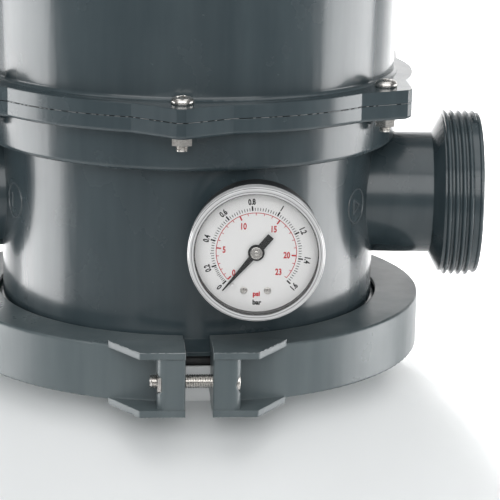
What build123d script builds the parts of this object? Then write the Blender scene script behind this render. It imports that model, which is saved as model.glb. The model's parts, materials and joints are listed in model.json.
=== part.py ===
from build123d import *
import os
from math import acos, cos, degrees, radians, sin

# Sand filter tank with a top-mounted multiport valve. Millimetres, +Z up.
# The origin is the middle of the footprint on the floor, and -Y is the front.
# Heights on the valve are measured from the top face of the cover flange.

os.makedirs("parts", exist_ok=True)

# ---------------------------------------------------------------- driving dimensions
valve_datum = 620.0             # floor to the top face of the cover flange

# tank
tank_radius = 200.0
tank_wall = 5.0
dome_height = 234.7             # half height of the upper ellipsoid
dome_centre = 278.9
bowl_height = 130.0             # half height of the lower ellipsoid
bowl_centre = 178.9
bowl_flat = 30.0                # radius of the flat under the bowl
neck_radius = 86.0
neck_bore = 78.0
joint_radius = 93.0             # both clamped flanges
tank_flange_top = -111.8
tank_flange_edge = -117.0
tank_flange_root = -119.8
o_ring_seat_depth = 1.5
neck_o_ring_radius = 88.6
neck_o_ring_section = 2.9
neck_o_ring_height = -110.35

# valve body
ear_count = 6
flange_radius = 99.3
ear_radius = 109.5
ear_facet = 3.75
ear_root_angle = 12.0
cover_flange_bottom = -5.6
body_flange_top = -5.9
flange_bottom = -12.62
collar_radius = 92.35
collar_bottom = -29.3
body_radius = 83.7
body_bore = 78.7
clamp_flange_root = -102.6
clamp_flange_rim = -105.6
clamp_flange_bottom = -107.4
skirt_radius = 77.5
skirt_bore = 72.5
skirt_bottom = -121.0
chamber_bore = 84.3
chamber_floor = -24.0
seal_rebate = 89.0
seal_rebate_floor = -8.7
deck_top = -32.0
deck_bottom = -38.0
floor_top = -90.0
floor_bottom = -94.0
tube_radius = 29.0
tube_bore = 22.0
socket_top = -60.0
inner_wall = 4.0

# side ports
port_height = -56.2
port_angles = (0.0, 90.0, 180.0)
port_pipe_radius = 27.25
port_bore = 21.0
port_cone_start = 109.0
port_cone_end = 113.4
port_end = 130.5
thread_root = 35.6
thread_depth = 1.7
thread_pitch = 3.175
thread_start = 114.0
thread_turns = 4.3
lip_radius = 36.3
lip_start = 128.6

# cover
cover_foot_radius = 90.9
cover_shoulder_radius = 91.75
cover_shoulder = 52.5
cover_crown = 57.0
hub_radius = 26.0
hub_top = 62.0
hub_underside = 38.0
cover_skirt_radius = 84.0
cover_skirt_bore = 79.5
cover_skirt_bottom = -11.0
bolt_circle = 98.0
bolt_hole = 2.75
screw_radius = 2.5
screw_head_radius = 4.75
screw_head_height = 3.4
screw_tip = -19.2
nut_flats = 8.0
nut_height = 4.0

# rotor and handle
stem_radius = 12.0
stem_bore = 12.08
stem_top = 81.0
stem_ring_heights = (44.0, 50.0)
rotor_radius = 77.0
rotor_bottom = -29.4
rotor_top = -21.0
bridge_top = -8.0
spring_radius = 17.0
spring_wire = 2.0
washer_thickness = 2.0
pin_height = 72.0
pin_radius = 3.5
pin_clearance = 0.06
handle_rise = 18.0              # degrees that the handle stands up when locked
heel_offset = 12.8
heel_radius = 9.7
cheek_inside = 12.6
cheek_outside = 19.0
pivot_radius = 7.5

# pressure gauge, which looks straight forward beside the middle of the valve; distances are
# measured forward from the plane of the port axes
gauge_offset = 30.7
gauge_height = -58.0
gauge_radius = 27.75
gauge_boss_start = 71.0
gauge_boss_end = 84.6
gauge_boss_radius = 10.5
gauge_thread = 6.4
gauge_back = 89.0
gauge_face = 114.2
dial_face = 109.0
pointer_rest = 140.0            # degrees anticlockwise from straight up
case_radius = 26.4
case_rim = 111.8
bezel_back = 107.6
lens_back = 111.9
lens_front = 113.3
dial_radius = 24.9
dial_thickness = 0.6
dial_screw_radius = 0.8
dial_screw_start = 106.5
hub_ring_radius = 3.35
hub_cap_radius = 2.55
movement_back = 101.4
movement_front = 104.8
plate_radius = 18.5
sector_pivot = 15.0
sector_root = 13.1
sector_tip = 13.6
pinion_root = 1.2
pinion_tip = 1.7
arbor_radius = 0.7
arbor_hole = 0.78
dial_screw_spots = ((-4.8, -16.0), (4.8, -16.0))
stop_pin_spot = (-9.4, -13.7)
pillar_spots = ((-12.1, 7.0), (12.1, 7.0), (-12.5, -10.9), (12.5, -10.9))

# clamp, in its own frame: x runs across the front gap and -y runs out through it
clamp_angle = 4.2
clamp_top = -100.4
clamp_bottom = -124.1
clamp_outer = 105.0
clamp_gap = 11.3
lug_top = -98.7
lug_bottom = -126.0
lug_front = 117.0
lug_corner = 24.1
lug_root_x = 36.9
lug_root_y = 98.6
lug_inner = 96.5
boss_width = 11.5
boss_front = 116.4
rib_thickness = 2.8
clamp_screw_distance = 110.5
clamp_screw_height = -112.6
clamp_screw_radius = 2.95
clamp_screw_length = 31.0
recess_radius = 5.2
recess_depth = 6.3
nut_pocket_depth = 5.2

# underdrain
pipe_radius = 25.0
pipe_bore = 22.5
pipe_bottom = 122.3
pipe_socket = 25.08
hub_outer = 34.0
hub_floor = 92.0
hub_rim = 142.0
lateral_count = 8
lateral_radius = 11.0
lateral_bore = 9.0
lateral_end = 140.0
lateral_height = 108.0
lateral_spigot = 8.0
slot_count = 14
slot_width = 0.8

# base and drain
foot_radius = 195.0
foot_inner = 158.0
foot_thickness = 8.0
base_bolt_circle = 372.0
base_bolt_hole = 4.5
base_bolt_count = 4
drain_height = 92.0
drain_boss_radius = 20.5
drain_boss_reach = 60.0         # how far the boss runs back into the bowl before hollowing
drain_boss_face = 172.0
drain_thread = 15.0
drain_bore = 10.0
drain_end = 190.0


# ---------------------------------------------------------------- helpers
def up(height):
    """Height above the floor of a height given on the valve."""
    return valve_datum + height


def level(height):
    """Horizontal plane at a height given on the valve."""
    return Plane.XY.offset(up(height))


def outward(angle):
    return Vector(cos(radians(angle)), sin(radians(angle)), 0)


def radial_plane(angle, height):
    """Upright plane through the valve axis: x runs outwards at angle, y runs up."""
    out = outward(angle)
    return Plane(origin=(0, 0, up(height)), x_dir=out, z_dir=out.cross(Vector(0, 0, 1)))


def facing_plane(angle, height, distance):
    """Upright plane that faces outwards at angle, at a distance from the valve axis."""
    out = outward(angle)
    spot = out * distance + Vector(0, 0, up(height))
    return Plane(origin=spot, x_dir=Vector(0, 0, 1).cross(out), z_dir=out)


def gauge_plane(distance, turn=0, below=0):
    """Plane across the gauge, its y axis turned anticlockwise from straight up."""
    x_dir = (cos(radians(turn)), 0, sin(radians(turn)))
    spot = (gauge_offset, -distance, up(gauge_height - below))
    return Plane(origin=spot, x_dir=x_dir, z_dir=(0, -1, 0))


def drain_plane(distance):
    """Plane that faces the front at a distance from the tank axis: x right, y up."""
    return Plane(origin=(0, -distance, drain_height), x_dir=(1, 0, 0), z_dir=(0, -1, 0))


def outline(points):
    """Closed polygon face in the current sketch."""
    Polygon(*points, align=None)


def turned(points, rounds=(), mode=Mode.ADD):
    """Solid of revolution about Z from (radius, valve height) points."""
    with BuildSketch(Plane.XZ) as profile:
        outline([(radius, up(height)) for radius, height in points])
        for radius, height, size in rounds:
            corner = profile.vertices().sort_by_distance((radius, up(height)))[0]
            fillet(corner, radius=size)
    revolve(profile.sketch, axis=Axis.Z, mode=mode)


def turned_radially(angle, height, points, mode=Mode.ADD):
    """Solid of revolution about a radius of the valve from (distance, radius) points."""
    with BuildSketch(radial_plane(angle, height)) as profile:
        outline(points)
    axis = Axis(origin=(0, 0, up(height)), direction=outward(angle))
    revolve(profile.sketch, axis=axis, mode=mode)


def turned_forward(across, height, points, mode):
    """Solid of revolution about a line that runs forward, from (distance, radius) points."""
    side = Plane(origin=(across, 0, height), x_dir=(0, -1, 0), z_dir=(-1, 0, 0))
    with BuildSketch(side) as profile:
        outline(points)
    axis = Axis(origin=(across, 0, height), direction=(0, -1, 0))
    revolve(profile.sketch, axis=axis, mode=mode)


def turned_for_gauge(points, mode=Mode.ADD):
    turned_forward(gauge_offset, up(gauge_height), points, mode)


def turned_for_drain(points, mode=Mode.ADD):
    turned_forward(0, drain_height, points, mode)


def o_ring(radius, section, height):
    with BuildSketch(Plane.XZ) as profile:
        with Locations((radius, up(height))):
            Circle(section)
    revolve(profile.sketch, axis=Axis.Z)


def eared_outline(bore):
    """Round flange with six bolt ears and a central bore, in the current sketch."""
    root_x = flange_radius * cos(radians(ear_root_angle))
    root_y = flange_radius * sin(radians(ear_root_angle))
    facet = ear_facet / 2
    Circle(flange_radius)
    with PolarLocations(0, ear_count, start_angle=-90):
        Polygon(
            (root_x - 6, root_y), (root_x, root_y), (ear_radius, facet),
            (ear_radius, -facet), (root_x, -root_y), (root_x - 6, -root_y), align=None)
    Circle(bore, mode=Mode.SUBTRACT)
    with PolarLocations(bolt_circle, ear_count, start_angle=-90):
        Circle(bolt_hole, mode=Mode.SUBTRACT)


def spoked_outline(outer, opening_outer, opening_inner, centre_hole, spoke_width):
    """Disc with six wedge openings and a centre hole, in the current sketch."""
    Circle(outer)
    Circle(opening_outer, mode=Mode.SUBTRACT)
    Circle(opening_inner)
    with PolarLocations(0, 6, start_angle=0):
        Rectangle(opening_outer + 0.5, spoke_width, align=(Align.MIN, Align.CENTER))
    Circle(centre_hole, mode=Mode.SUBTRACT)


def sector_outline(inner, outer, middle, half_angle):
    """Part of a ring, centred on the angle middle, in the current sketch."""
    reach = 2 * outer
    low = radians(middle - half_angle)
    high = radians(middle + half_angle)
    Circle(outer)
    Circle(inner, mode=Mode.SUBTRACT)
    Polygon(
        (0, 0), (reach * cos(low), reach * sin(low)),
        (reach * cos(high), reach * sin(high)), align=None, mode=Mode.INTERSECT)


def hexagon(flats):
    """Hexagon with two corners on the local x axis."""
    RegularPolygon(radius=flats / 2, side_count=6, major_radius=False)


def finish(piece, name):
    piece.part.label = name
    export_step(piece.part, f"parts/{name}.step")


# ---------------------------------------------------------------- tank
def ellipse_arc(radius, height, centre, start, end):
    """Smooth curve along an ellipse in the current line, between two parameter angles."""
    steps = 8
    turns = [radians(start + (end - start) * step / steps) for step in range(steps + 1)]
    points = [(radius * cos(turn), centre + height * sin(turn)) for turn in turns]
    way = 1 if end > start else -1
    tangents = [
        (-way * radius * sin(turn), way * height * cos(turn)) for turn in (turns[0], turns[-1])]
    return Edge.make_spline([Vector(*point) for point in points],
                            tangents=[Vector(*tangent).normalized() for tangent in tangents])


inner_radius = tank_radius - tank_wall
dome_inside = dome_height - tank_wall
bowl_inside = bowl_height - tank_wall
outer_turn = degrees(acos(neck_radius / tank_radius))
inner_turn = degrees(acos(neck_bore / inner_radius))
flat_turn = degrees(acos(bowl_flat / tank_radius))
inner_flat_turn = degrees(acos(bowl_flat / inner_radius))

outer_dome = ellipse_arc(tank_radius, dome_height, dome_centre, outer_turn, 0)
inner_dome = ellipse_arc(inner_radius, dome_inside, dome_centre, 0, inner_turn)
outer_bowl = ellipse_arc(tank_radius, bowl_height, bowl_centre, 0, -flat_turn)
inner_bowl = ellipse_arc(inner_radius, bowl_inside, bowl_centre, -inner_flat_turn, 0)

with BuildPart() as tank_shell:
    with BuildSketch(Plane.XZ):
        with BuildLine():
            add([outer_dome, outer_bowl])
            Polyline(
                outer_bowl @ 1, (0, (outer_bowl @ 1).Y), (0, up(tank_flange_top)),
                (joint_radius, up(tank_flange_top)), (joint_radius, up(tank_flange_edge)),
                (neck_radius, up(tank_flange_root)), outer_dome @ 0)
            Line(outer_dome @ 1, outer_bowl @ 0)
        make_face()
    revolve(axis=Axis.Z)
    with BuildSketch(drain_plane(drain_boss_face)):
        Circle(drain_boss_radius)
    extrude(amount=-drain_boss_reach)
    with BuildSketch(Plane.XZ):
        with BuildLine():
            add([inner_dome, inner_bowl])
            Polyline(
                inner_bowl @ 0, (0, (inner_bowl @ 0).Y), (0, up(tank_flange_top)),
                (neck_bore, up(tank_flange_top)), inner_dome @ 1)
            Line(inner_bowl @ 1, inner_dome @ 0)
        make_face()
    revolve(axis=Axis.Z, mode=Mode.SUBTRACT)
    with BuildSketch(level(tank_flange_top)):
        Circle(neck_o_ring_radius + 3.2)
        Circle(neck_o_ring_radius - 3.2, mode=Mode.SUBTRACT)
    extrude(amount=-o_ring_seat_depth, mode=Mode.SUBTRACT)
    with BuildSketch(drain_plane(drain_boss_face)):
        Circle(drain_thread)
    extrude(amount=-drain_boss_reach, mode=Mode.SUBTRACT)
finish(tank_shell, "tank_shell")

with BuildPart() as tank_base:
    skirt_slope = [(179.0, foot_thickness), (166.0, 106.1), (160.0, 100.6), (172.0, foot_thickness)]
    with BuildSketch(Plane.XZ):
        outline(
            [(foot_inner, 0), (foot_radius, 0), (foot_radius, foot_thickness)]
            + skirt_slope + [(foot_inner, foot_thickness)])
    revolve(axis=Axis.Z)
    with BuildSketch(Plane.XY):
        with PolarLocations(base_bolt_circle / 2, base_bolt_count, start_angle=45):
            Circle(base_bolt_hole)
    extrude(amount=foot_thickness, mode=Mode.SUBTRACT)
    with BuildSketch(drain_plane(foot_inner - 20)):
        with BuildLine():
            Line((-28, 40), (-28, 0))
            ThreePointArc((-28, 0), (0, -28), (28, 0))
            Line((28, 0), (28, 40))
            Line((28, 40), (-28, 40))
        make_face()
    extrude(amount=60, mode=Mode.SUBTRACT)
finish(tank_base, "tank_base")

with BuildPart() as neck_o_ring:
    o_ring(neck_o_ring_radius, neck_o_ring_section, neck_o_ring_height)
finish(neck_o_ring, "neck_o_ring")


# ---------------------------------------------------------------- valve body
with BuildPart() as port_thread:
    flank = 0.43 * thread_pitch
    shoulder_rise = 0.55 * thread_depth
    shoulder_half = 0.62 * flank
    with BuildLine() as thread_path:
        Helix(pitch=thread_pitch, height=thread_pitch * thread_turns, radius=thread_root)
    start = Plane(origin=thread_path.line @ 0, x_dir=(1, 0, 0), z_dir=thread_path.line % 0)
    with BuildSketch(start):
        with BuildLine():
            Polyline(
                (shoulder_rise, shoulder_half), (-0.5, flank), (-0.5, -flank),
                (shoulder_rise, -shoulder_half))
            ThreePointArc(
                (shoulder_rise, -shoulder_half), (thread_depth, 0),
                (shoulder_rise, shoulder_half))
        make_face()
    sweep(path=thread_path.line, is_frenet=True)

with BuildPart() as port:
    with BuildSketch(Plane.XZ):
        Polygon(
            (port_bore - 2, body_bore - 0.3), (port_pipe_radius, body_bore - 0.3),
            (port_pipe_radius, port_cone_start), (thread_root, port_cone_end),
            (thread_root, lip_start), (lip_radius, lip_start + 0.5), (lip_radius, port_end - 0.6),
            (lip_radius - 0.6, port_end), (port_bore - 2, port_end), align=None)
    revolve(axis=Axis.Z)
    with Locations((0, 0, thread_start)):
        add(port_thread.part)

with BuildPart() as valve_body:
    with BuildSketch(level(flange_bottom)):
        eared_outline(seal_rebate + 1)
    extrude(amount=body_flange_top - flange_bottom)
    lower_edges = valve_body.faces().sort_by(Axis.Z)[0].outer_wire().edges()
    fillet(lower_edges, radius=1.6)
    turned([
        (collar_radius, body_flange_top), (collar_radius, collar_bottom),
        (body_radius, collar_bottom), (body_radius, clamp_flange_root),
        (joint_radius, clamp_flange_rim), (joint_radius, clamp_flange_bottom),
        (skirt_radius, clamp_flange_bottom), (skirt_radius, skirt_bottom),
        (skirt_bore, skirt_bottom), (skirt_bore, -103), (body_bore, -98),
        (body_bore, chamber_floor), (chamber_bore, chamber_floor),
        (chamber_bore, seal_rebate_floor), (seal_rebate, seal_rebate_floor),
        (seal_rebate, body_flange_top),
    ], rounds=[(collar_radius, collar_bottom, 2.2)])
    with BuildSketch(level(deck_bottom)):
        spoked_outline(body_bore + 1, 72, 32, tube_bore, 6)
    extrude(amount=deck_top - deck_bottom)
    with BuildSketch(level(skirt_bottom)):
        Circle(tube_radius)
        Circle(tube_bore, mode=Mode.SUBTRACT)
    extrude(amount=deck_bottom - skirt_bottom)
    with BuildSketch(level(floor_bottom)):
        Circle(body_bore + 1)
        Circle(tube_bore + 3, mode=Mode.SUBTRACT)
    extrude(amount=floor_top - floor_bottom)
    with BuildSketch(level(floor_bottom)):
        sector_outline(tube_radius + 5, body_bore - 5, -90, 38)
    extrude(amount=floor_top - floor_bottom, mode=Mode.SUBTRACT)
    with BuildSketch(level(floor_bottom)):
        with PolarLocations(tube_radius - 2, 4, start_angle=45):
            Rectangle(body_bore - tube_radius + 3, inner_wall, align=(Align.MIN, Align.CENTER))
    extrude(amount=deck_bottom - floor_bottom)
    for angle in port_angles:
        with Locations(Location(facing_plane(angle, port_height, 0))):
            add(port.part)
    for angle in port_angles:
        turned_radially(angle, port_height, [
            (body_bore - 10, 0), (body_bore - 10, port_bore),
            (port_end + 1, port_bore), (port_end + 1, 0)], mode=Mode.SUBTRACT)
    turned_for_gauge([
        (gauge_boss_start, 0), (gauge_boss_start, gauge_boss_radius),
        (gauge_boss_end, gauge_boss_radius), (gauge_boss_end, 0)])
    turned_for_gauge([
        (gauge_boss_start - 8, 0), (gauge_boss_start - 8, gauge_thread + 0.05),
        (gauge_boss_end + 1, gauge_thread + 0.05), (gauge_boss_end + 1, 0)], mode=Mode.SUBTRACT)
    with BuildSketch(level(skirt_bottom)):
        Circle(pipe_socket)
    extrude(amount=socket_top - skirt_bottom, mode=Mode.SUBTRACT)
finish(valve_body, "valve_body")

with BuildPart() as spider_gasket:
    with BuildSketch(level(deck_top)):
        spoked_outline(body_bore - 0.7, 71, 33, tube_bore + 1, 7)
    extrude(amount=2.5)
finish(spider_gasket, "spider_gasket")


# ---------------------------------------------------------------- cover
def crown_height(radius):
    """Height of the sloping crown of the cover at a radius."""
    slope = (cover_shoulder - cover_crown) / (cover_shoulder_radius - hub_radius - 3)
    return cover_crown + slope * (radius - hub_radius - 3)


with BuildPart() as valve_cover:
    with BuildSketch(level(cover_flange_bottom)):
        eared_outline(cover_foot_radius - 2)
    extrude(amount=-cover_flange_bottom)
    turned([
        (stem_bore, hub_top), (hub_radius, hub_top), (hub_radius + 3, cover_crown),
        (cover_shoulder_radius, cover_shoulder), (cover_foot_radius, 0),
        (seal_rebate + 5, 0), (seal_rebate + 5, cover_flange_bottom),
        (cover_skirt_radius, cover_flange_bottom), (cover_skirt_radius, cover_skirt_bottom),
        (cover_skirt_bore, cover_skirt_bottom), (cover_skirt_bore, -2), (85.5, 3), (86.3, 47.0),
        (22, 51), (22, hub_underside), (stem_bore, hub_underside),
    ], rounds=[
        (hub_radius, hub_top, 1.0), (cover_shoulder_radius, cover_shoulder, 9.0),
        (cover_foot_radius, 0, 1.7), (86.3, 47.0, 5.0)])
finish(valve_cover, "valve_cover")

with BuildPart() as position_plate:
    turned([
        (36, crown_height(36) + 0.05), (78, crown_height(78) + 0.05),
        (78, crown_height(78) + 1.0), (36, crown_height(36) + 1.0)])
finish(position_plate, "position_plate")

with BuildPart() as cover_o_ring:
    o_ring(86.65, 1.4, -7.28)
finish(cover_o_ring, "cover_o_ring")

with BuildPart() as cover_screws:
    with BuildSketch(level(screw_tip)):
        with PolarLocations(bolt_circle, ear_count, start_angle=-90):
            Circle(screw_radius)
    extrude(amount=0.05 - screw_tip)
    with BuildSketch(level(0.05)):
        with PolarLocations(bolt_circle, ear_count, start_angle=-90):
            Circle(screw_head_radius)
    extrude(amount=screw_head_height)
    rims = cover_screws.edges().group_by(Axis.Z)[-1]
    fillet(rims, radius=1.6)
    with BuildSketch(level(0.05 + screw_head_height)):
        with PolarLocations(bolt_circle, ear_count, start_angle=-90):
            Rectangle(5.4, 1.1)
            Rectangle(1.1, 5.4)
    extrude(amount=-1.8, mode=Mode.SUBTRACT)
finish(cover_screws, "cover_screws")

with BuildPart() as cover_nuts:
    with BuildSketch(level(flange_bottom - 0.05)):
        with PolarLocations(bolt_circle, ear_count, start_angle=-90):
            hexagon(nut_flats)
            Circle(screw_radius, mode=Mode.SUBTRACT)
    extrude(amount=-nut_height)
finish(cover_nuts, "cover_nuts")


# ---------------------------------------------------------------- rotor and handle
with BuildPart() as rotor:
    with BuildSketch(level(rotor_bottom)):
        Circle(rotor_radius)
    extrude(amount=rotor_top - rotor_bottom)
    with BuildSketch(level(rotor_top)):
        Circle(24)
        Rectangle(40, 68, align=(Align.CENTER, Align.MIN))
    extrude(amount=bridge_top - rotor_top)
    with BuildSketch(level(rotor_bottom)):
        Circle(19)
        with Locations((0, 34)):
            Rectangle(32, 60)
    extrude(amount=bridge_top - rotor_bottom - 4, mode=Mode.SUBTRACT)
    with BuildSketch(level(rotor_bottom)):
        sector_outline(33, 70, -90, 23)
    extrude(amount=rotor_top - rotor_bottom, mode=Mode.SUBTRACT)
    with BuildSketch(level(bridge_top - 4)):
        Circle(stem_radius)
    extrude(amount=stem_top - bridge_top + 4)
    top_rim = rotor.edges().group_by(Axis.Z)[-1]
    chamfer(top_rim, length=1.5)
    for height in stem_ring_heights:
        with BuildSketch(level(height - 1.7)):
            Circle(stem_radius + 1)
            Circle(stem_radius - 3, mode=Mode.SUBTRACT)
        extrude(amount=3.4, mode=Mode.SUBTRACT)
    with BuildSketch(Plane.YZ.offset(-stem_radius - 1)):
        with Locations((0, up(pin_height))):
            Circle(pin_radius + 0.02)
    extrude(amount=2 * stem_radius + 2, mode=Mode.SUBTRACT)
finish(rotor, "rotor")

with BuildPart() as stem_o_rings:
    for height in stem_ring_heights:
        o_ring(stem_radius - 1.45, 1.5, height)
finish(stem_o_rings, "stem_o_rings")

with BuildPart() as rotor_spring:
    spring_bottom = up(bridge_top) + spring_wire + 0.1
    spring_height = hub_underside - bridge_top - 2 * spring_wire - washer_thickness - 0.3
    with BuildLine() as coil:
        Helix(pitch=spring_height / 4.5, height=spring_height, radius=spring_radius,
              center=(0, 0, spring_bottom))
    with BuildSketch(Plane(origin=coil.line @ 0, z_dir=coil.line % 0)):
        Circle(spring_wire)
    sweep(is_frenet=True)
finish(rotor_spring, "rotor_spring")

with BuildPart() as spring_washer:
    with BuildSketch(level(hub_underside - 0.1)):
        Circle(21)
        Circle(stem_radius + 0.3, mode=Mode.SUBTRACT)
    extrude(amount=-washer_thickness)
finish(spring_washer, "spring_washer")

with BuildPart() as slip_washer:
    with BuildSketch(level(hub_top)):
        Circle(24.5)
        Circle(stem_radius + 0.3, mode=Mode.SUBTRACT)
    extrude(amount=washer_thickness)
finish(slip_washer, "slip_washer")

rise_cos = cos(radians(handle_rise))
rise_sin = sin(radians(handle_rise))
handle_reach = (0, -rise_cos, rise_sin)
handle_side = Plane(origin=(0, 0, up(pin_height)), x_dir=handle_reach, z_dir=(-1, 0, 0))
handle_plan = Plane(
    origin=(0, 0, up(pin_height)), x_dir=handle_reach, z_dir=(0, rise_sin, rise_cos))
heel_x = heel_offset * cos(radians(handle_rise / 2))
heel_y = -heel_offset * sin(radians(handle_rise / 2))

with BuildPart() as handle:
    with BuildSketch(handle_side):
        with BuildLine():
            Polyline((0, pivot_radius), (60, 9.5), (118, 15.0), (152, 15.5))
            ThreePointArc((152, 15.5), (155.5, 12.0), (152, 8.5))
            Polyline(
                (152, 8.5), (118, 6.5), (62, -0.5), (22, -8.0), (heel_x, heel_y - heel_radius),
                (0, -pivot_radius), (0, pivot_radius))
        make_face()
        Circle(pivot_radius)
        with Locations((heel_x, heel_y)):
            Circle(heel_radius)
    extrude(amount=cheek_outside, both=True)
    with BuildSketch(handle_plan):
        with BuildLine():
            Polyline((-12, -cheek_outside), (26, -cheek_outside), (62, -12.5), (122, -14.5))
            ThreePointArc((122, -14.5), (156, 0), (122, 14.5))
            Polyline(
                (122, 14.5), (62, 12.5), (26, cheek_outside), (-12, cheek_outside),
                (-12, -cheek_outside))
        make_face()
    extrude(amount=40, both=True, mode=Mode.INTERSECT)
    with BuildSketch(handle_plan):
        Rectangle(2 * 17.5, 2 * cheek_inside)
    extrude(amount=40, both=True, mode=Mode.SUBTRACT)
    with BuildSketch(Plane.YZ.offset(-cheek_outside - 1)):
        with Locations((0, up(pin_height))):
            Circle(pin_radius + pin_clearance)
    extrude(amount=2 * cheek_outside + 2, mode=Mode.SUBTRACT)
finish(handle, "handle")

with BuildPart() as handle_pin:
    with BuildSketch(Plane.YZ.offset(-cheek_outside - 0.5)):
        with Locations((0, up(pin_height))):
            Circle(pin_radius)
    extrude(amount=2 * cheek_outside + 1)
    chamfer(handle_pin.edges().filter_by(GeomType.CIRCLE), length=0.5)
finish(handle_pin, "handle_pin")

# ---------------------------------------------------------------- pressure gauge
with BuildPart() as gauge_stem:
    hex_start = gauge_boss_end + 1.35
    socket_start = gauge_back + 1.75
    turned_for_gauge([
        (gauge_boss_start + 1, 1.5), (gauge_boss_start + 1, gauge_thread),
        (hex_start + 0.05, gauge_thread), (hex_start + 0.05, 1.5)])
    with BuildSketch(gauge_plane(hex_start)):
        hexagon(14)
        Circle(1.5, mode=Mode.SUBTRACT)
    extrude(amount=gauge_back - hex_start - 0.05)
    turned_for_gauge([
        (gauge_back - 0.1, 1.5), (gauge_back - 0.1, 5.15), (socket_start + 0.05, 5.15),
        (socket_start + 0.05, 1.5)])
    with BuildSketch(gauge_plane(socket_start)):
        Rectangle(11, 11)
    extrude(amount=movement_back - 0.05 - socket_start)
finish(gauge_stem, "gauge_stem")

with BuildPart() as gauge_stem_seal:
    turned_for_gauge([
        (gauge_boss_end + 0.05, gauge_thread + 0.1), (gauge_boss_end + 0.05, 9.5),
        (gauge_boss_end + 1.3, 9.5), (gauge_boss_end + 1.3, gauge_thread + 0.1)])
finish(gauge_stem_seal, "gauge_stem_seal")

with BuildPart() as gauge_case:
    turned_for_gauge([
        (gauge_back, 5.2), (gauge_back, 23.5), (gauge_back + 3, case_radius),
        (case_rim, case_radius), (case_rim, case_radius - 1.4),
        (gauge_back + 3.3, case_radius - 1.4), (gauge_back + 1.5, 23.0),
        (gauge_back + 1.5, 5.2)])
finish(gauge_case, "gauge_case")

with BuildPart() as gauge_bezel:
    turned_for_gauge([
        (bezel_back, case_radius + 0.05), (bezel_back, gauge_radius),
        (gauge_face - 1, gauge_radius), (gauge_face, gauge_radius - 0.85), (gauge_face, 25.1),
        (lens_front + 0.1, 24.7), (lens_front + 0.1, 25.4), (lens_back, 25.4),
        (lens_back, case_radius + 0.05)])
finish(gauge_bezel, "gauge_bezel")

with BuildPart() as gauge_lens:
    turned_for_gauge([
        (lens_back, 0), (lens_back, 25.3), (lens_front, 25.3), (lens_front, 0)])
finish(gauge_lens, "gauge_lens")

with BuildPart() as gauge_dial:
    with BuildSketch(gauge_plane(dial_face)):
        Circle(dial_radius)
        Circle(1.3, mode=Mode.SUBTRACT)
        with Locations(*dial_screw_spots):
            Circle(dial_screw_radius + 0.05, mode=Mode.SUBTRACT)
    extrude(amount=-dial_thickness)
    with BuildSketch(gauge_plane(dial_face - dial_thickness / 2)):
        with Locations(stop_pin_spot):
            Circle(0.55)
    extrude(amount=2.3)
finish(gauge_dial, "gauge_dial")

with BuildPart() as gauge_dial_screws:
    with BuildSketch(gauge_plane(dial_screw_start)):
        with Locations(*dial_screw_spots):
            Circle(dial_screw_radius)
    extrude(amount=dial_face + 0.1 - dial_screw_start)
    with BuildSketch(gauge_plane(dial_face + 0.05)):
        with Locations(*dial_screw_spots):
            Circle(1.5)
    extrude(amount=0.7)
finish(gauge_dial_screws, "gauge_dial_screws")

with BuildPart() as gauge_movement:
    for plate, thickness in ((movement_back, 0.9), (movement_front, 1.0)):
        with BuildSketch(gauge_plane(plate)):
            Circle(plate_radius)
            Circle(arbor_hole, mode=Mode.SUBTRACT)
            with Locations((0, -sector_pivot)):
                Circle(arbor_hole, mode=Mode.SUBTRACT)
        extrude(amount=thickness)
    with BuildSketch(gauge_plane(movement_back + 0.5)):
        with Locations(*pillar_spots):
            Circle(1.3)
    extrude(amount=movement_front - movement_back)
    with BuildSketch(gauge_plane(movement_front + 0.5)):
        with Locations(*dial_screw_spots):
            Circle(1.7)
    extrude(amount=dial_face - dial_thickness - 0.05 - movement_front - 0.5)
    with BuildSketch(gauge_plane(dial_screw_start)):
        with Locations(*dial_screw_spots):
            Circle(dial_screw_radius)
    extrude(amount=2, mode=Mode.SUBTRACT)
finish(gauge_movement, "gauge_movement")

sector_reach = 30
sector_sides = [(0, -2)] + [
    (sector_reach * cos(radians(turn)), sector_reach * sin(radians(turn)))
    for turn in (44, 72, 100)]
with BuildPart() as gauge_sector:
    with BuildSketch(gauge_plane(movement_back + 1.4, below=sector_pivot)):
        Circle(sector_root)
        Polygon(*sector_sides, align=None, mode=Mode.INTERSECT)
        for step in range(-8, 3):
            with Locations(Location((0, 0, 0), (0, 0, 90 + 5 * step))):
                Polygon(
                    (sector_root - 0.3, -0.3), (sector_tip, -0.12),
                    (sector_tip, 0.12), (sector_root - 0.3, 0.3), align=None)
        Circle(2.4)
    extrude(amount=1.4)
    with BuildSketch(gauge_plane(movement_back + 0.1, below=sector_pivot)):
        Circle(arbor_radius)
    extrude(amount=4.2)
finish(gauge_sector, "gauge_sector")

with BuildPart() as gauge_pointer:
    with BuildSketch(gauge_plane(dial_face + 1, turn=pointer_rest)):
        Polygon(
            (-1.45, -9.0), (1.45, -9.0), (1.45, -2.0), (1.2, 3), (0.2, 21.0), (-0.2, 21.0),
            (-1.2, 3), (-1.45, -2.0), align=None)
        Circle(hub_ring_radius)
    extrude(amount=0.4)
    with BuildSketch(gauge_plane(dial_face + 1.3)):
        Circle(hub_cap_radius)
    extrude(amount=0.6)
    with BuildSketch(gauge_plane(movement_back + 0.1)):
        Circle(arbor_radius)
    extrude(amount=8.6)
    with BuildSketch(gauge_plane(movement_back + 1.5)):
        Circle(pinion_root)
        with PolarLocations(0, 8, start_angle=22.5):
            Polygon(
                (0.9, -0.3), (pinion_tip, -0.12), (pinion_tip, 0.12), (0.9, 0.3), align=None)
    extrude(amount=1.2)
finish(gauge_pointer, "gauge_pointer")

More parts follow.
